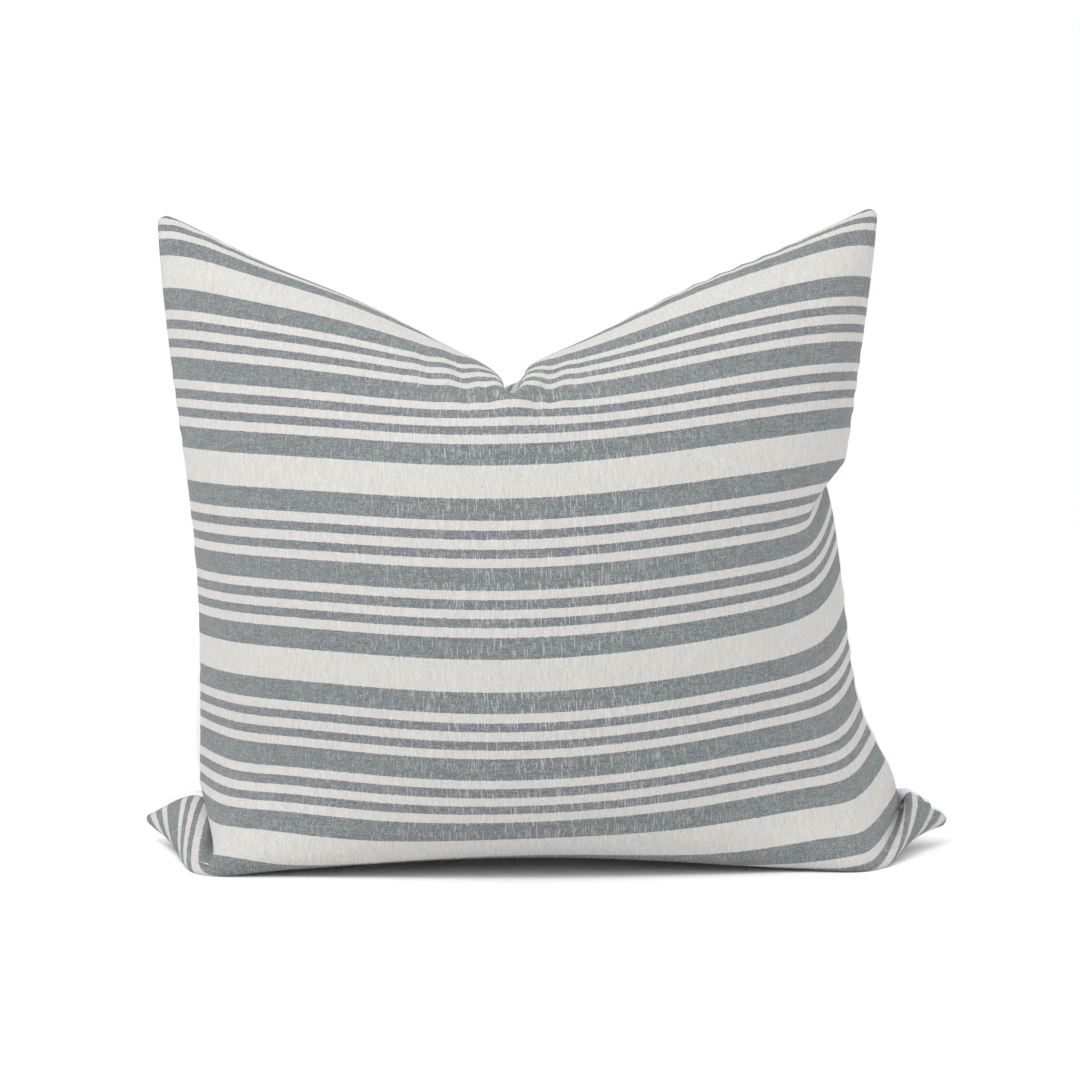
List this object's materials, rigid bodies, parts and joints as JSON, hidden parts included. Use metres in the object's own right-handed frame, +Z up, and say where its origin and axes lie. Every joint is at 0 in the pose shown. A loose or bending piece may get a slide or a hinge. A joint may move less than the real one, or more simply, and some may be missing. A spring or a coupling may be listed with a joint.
{
  "type": "throw pillow",
  "caption": "Throw pillow with a striped linen face, plain white back, hidden zip in the lower seam and a filled insert, standing with a dent in its top edge.",
  "frame": {"origin": "on the ground at the middle of the pillow's outline, under the lower seam", "axes": "+Z up, the striped front faces -Y, +X to the right as seen from the front"},
  "size_m": [0.604, 0.3, 0.484],
  "materials": {
    "striped_linen": "plain-weave linen, cream and blue-grey stripes",
    "white_linen": "plain-weave white cloth",
    "thread": "matt sewing thread",
    "zip_tape": "woven tape",
    "zip_coil": "nylon coil",
    "zip_metal": "plated",
    "cotton": "downproof cotton",
    "fibre": "loose fibre filling"
  },
  "bodies": {
    "cushion": {"front_panel": "striped_linen", "back_panel": "white_linen", "seam_thread_top": "thread", "seam_thread_left": "thread", "seam_thread_right": "thread", "seam_thread_bottom_left": "thread", "seam_thread_bottom_right": "thread", "zip_tape_front": "zip_tape", "zip_tape_back": "zip_tape", "zip_coil_front": "zip_coil", "zip_coil_back": "zip_coil", "zip_thread_front": "thread", "zip_thread_back": "thread", "zip_top_stop_front": "zip_coil", "zip_top_stop_back": "zip_coil", "zip_bottom_stop": "zip_coil", "insert_front": "cotton", "insert_back": "cotton", "insert_thread": "thread", "filling": "fibre"},
    "slider": {"zip_slider": "zip_metal"},
    "pull": {"zip_pull": "zip_metal"}
  },
  "joints": [
    {"name": "zip_slide", "type": "slide", "parent": "cushion", "child": "slider", "axis": [1, 0, 0], "range_m": [-0.388, 0]},
    {"name": "pull_swing", "type": "hinge", "parent": "slider", "child": "pull", "pos_m": [0.195, 0, 0.0034], "axis": [0, 1, 0], "range_deg": [0, 170]}
  ]
}
